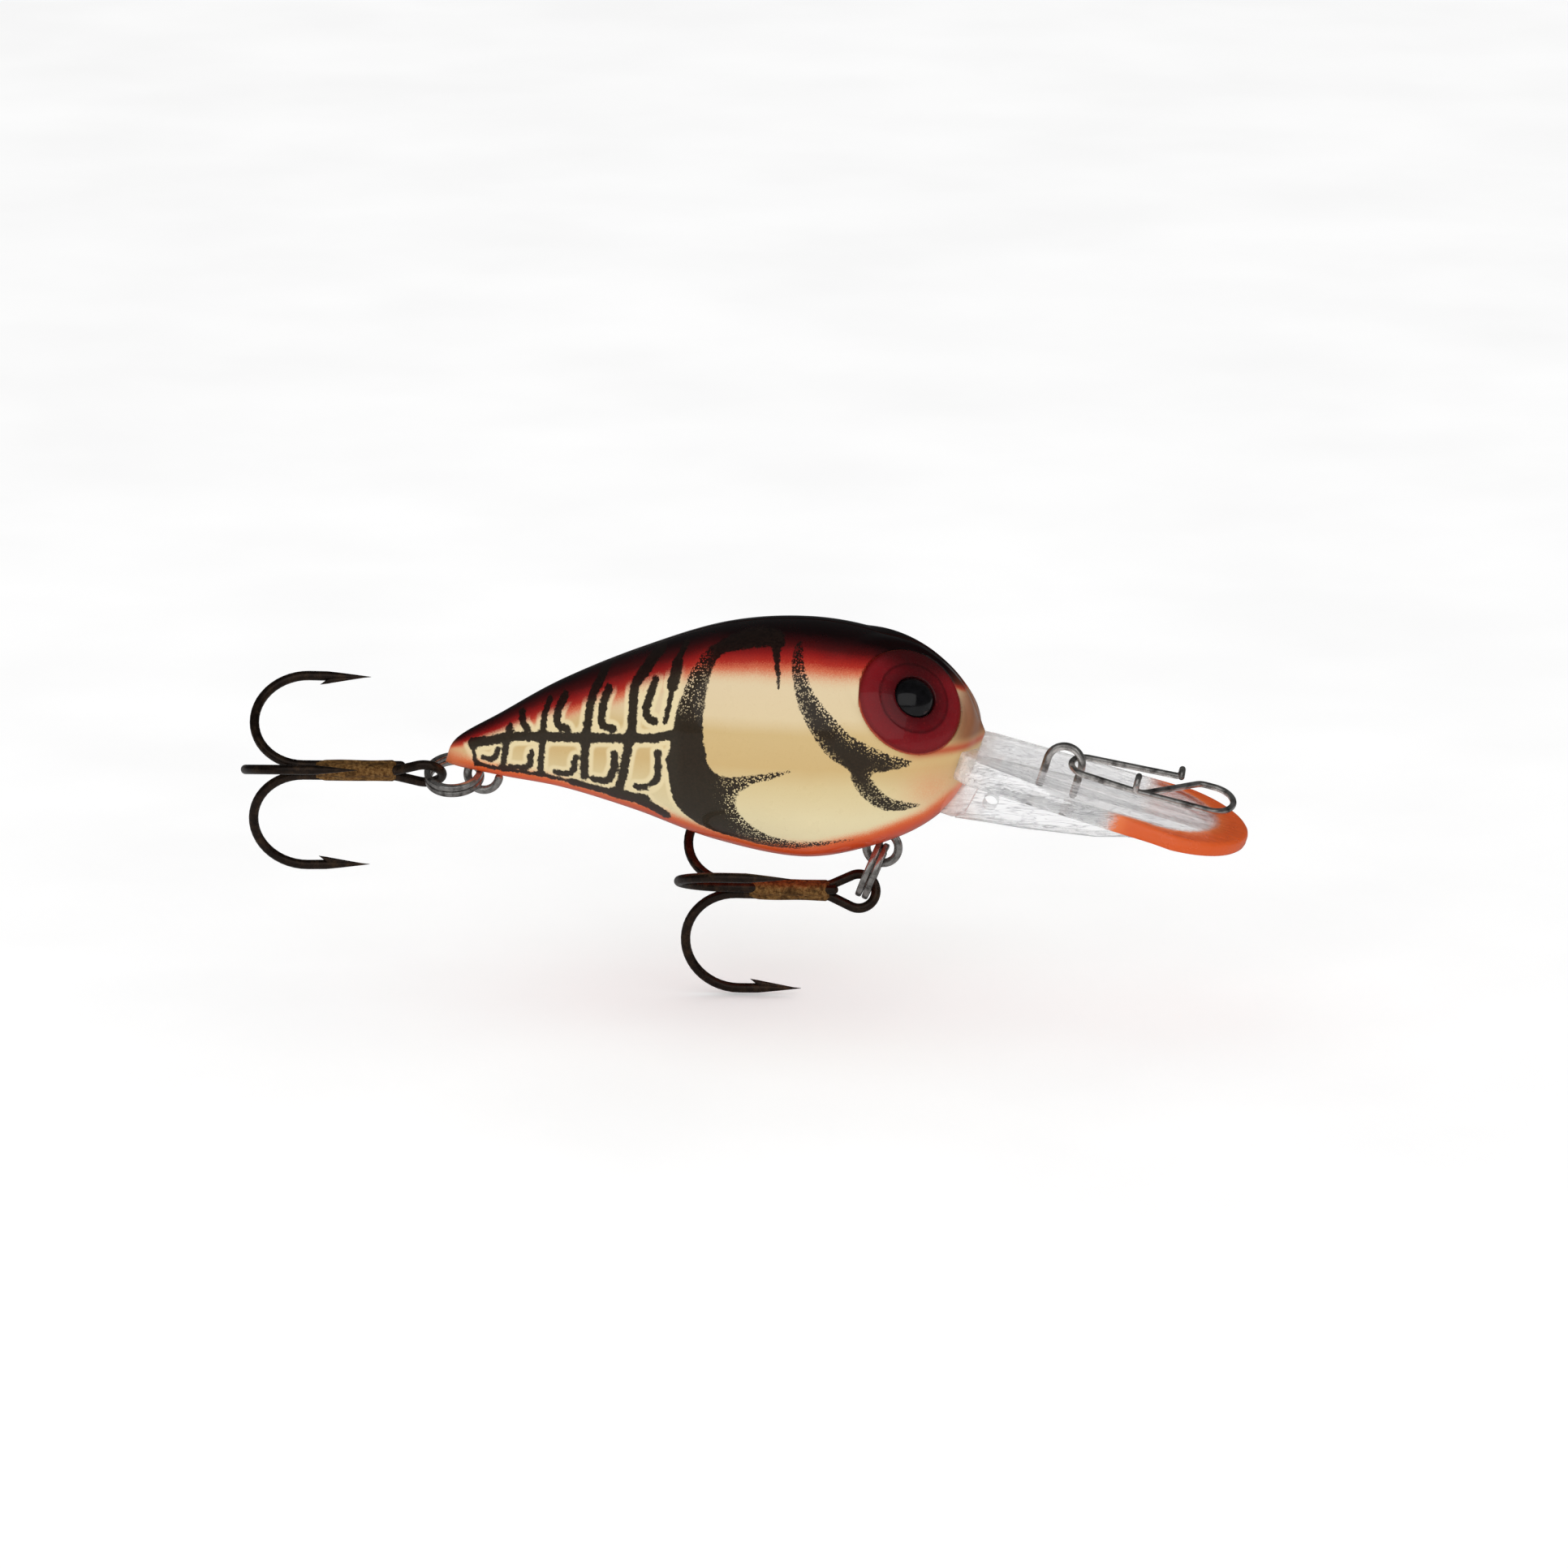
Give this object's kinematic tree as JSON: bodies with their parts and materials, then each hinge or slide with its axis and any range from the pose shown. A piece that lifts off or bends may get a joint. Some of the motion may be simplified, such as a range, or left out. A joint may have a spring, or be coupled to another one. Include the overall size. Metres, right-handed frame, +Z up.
{
  "type": "crankbait lure",
  "caption": "Diving crankbait with a hollow painted body, a clear diving lip with a line snap, and treble hooks that swing on split rings.",
  "frame": {"origin": "where the fishing line is tied: the middle of the snap's front bend, on the seam plane", "axes": "+X from the tail towards the lip, +Y towards the fish's left side, +Z up through the back"},
  "size_m": [0.0944, 0.0208, 0.0363],
  "materials": {
    "painted_body": "gloss",
    "clear_lip": "polished",
    "nickel_wire": "polished",
    "bronze_hook": "satin",
    "brass_braze": "satin",
    "iris_red": "polished",
    "pupil_black": "polished",
    "weight_steel": "satin"
  },
  "bodies": {
    "lure": {"body_right": "painted_body", "body_left": "painted_body", "diving_lip": "clear_lip", "line_tie": "nickel_wire", "belly_screw_eye": "nickel_wire", "tail_screw_eye": "nickel_wire", "eye_right": "iris_red", "eye_left": "iris_red", "pupil_right": "pupil_black", "pupil_left": "pupil_black", "ballast_weight": "weight_steel"},
    "line_snap": {"snap": "nickel_wire"},
    "belly_ring": {"belly_split_ring": "nickel_wire"},
    "belly_treble": {"belly_double_hook": "bronze_hook", "belly_third_hook": "bronze_hook", "belly_braze": "brass_braze"},
    "tail_ring": {"tail_split_ring": "nickel_wire"},
    "tail_treble": {"tail_double_hook": "bronze_hook", "tail_third_hook": "bronze_hook", "tail_braze": "brass_braze"},
    "ball_front": {"rattle_ball_front": "weight_steel"},
    "ball_middle": {"rattle_ball_middle": "weight_steel"},
    "ball_rear": {"rattle_ball_rear": "weight_steel"}
  },
  "joints": [
    {"name": "snap_lift", "type": "hinge", "parent": "lure", "child": "line_snap", "pos_m": [-0.01501, 0, 0.00346], "axis": [0, -1, 0], "range_deg": [0, 150]},
    {"name": "belly_ring_swing", "type": "hinge", "parent": "lure", "child": "belly_ring", "pos_m": [-0.03264, 0, -0.00526], "axis": [0, 1, 0], "range_deg": [-40, 0]},
    {"name": "belly_hook_swing", "type": "hinge", "parent": "belly_ring", "child": "belly_treble", "pos_m": [-0.0345, 0, -0.00975], "axis": [0, 1, 0], "range_deg": [-110, 0]},
    {"name": "tail_ring_swing", "type": "hinge", "parent": "lure", "child": "tail_ring", "pos_m": [-0.07023, 0, 0.00044], "axis": [0, 1, 0], "range_deg": [-70, 8]},
    {"name": "tail_hook_swing", "type": "hinge", "parent": "tail_ring", "child": "tail_treble", "pos_m": [-0.07548, 0, 0.00032], "axis": [0, 0.9136, 0.4067], "range_deg": [-60, 60]},
    {"name": "front_ball_roll", "type": "slide", "parent": "lure", "child": "ball_front", "axis": [0, 1, 0], "range_m": [-0.003, 0.003]},
    {"name": "middle_ball_roll", "type": "slide", "parent": "lure", "child": "ball_middle", "axis": [0, 1, 0], "range_m": [-0.003, 0.003]},
    {"name": "rear_ball_roll", "type": "slide", "parent": "lure", "child": "ball_rear", "axis": [0, 1, 0], "range_m": [-0.003, 0.003]}
  ]
}
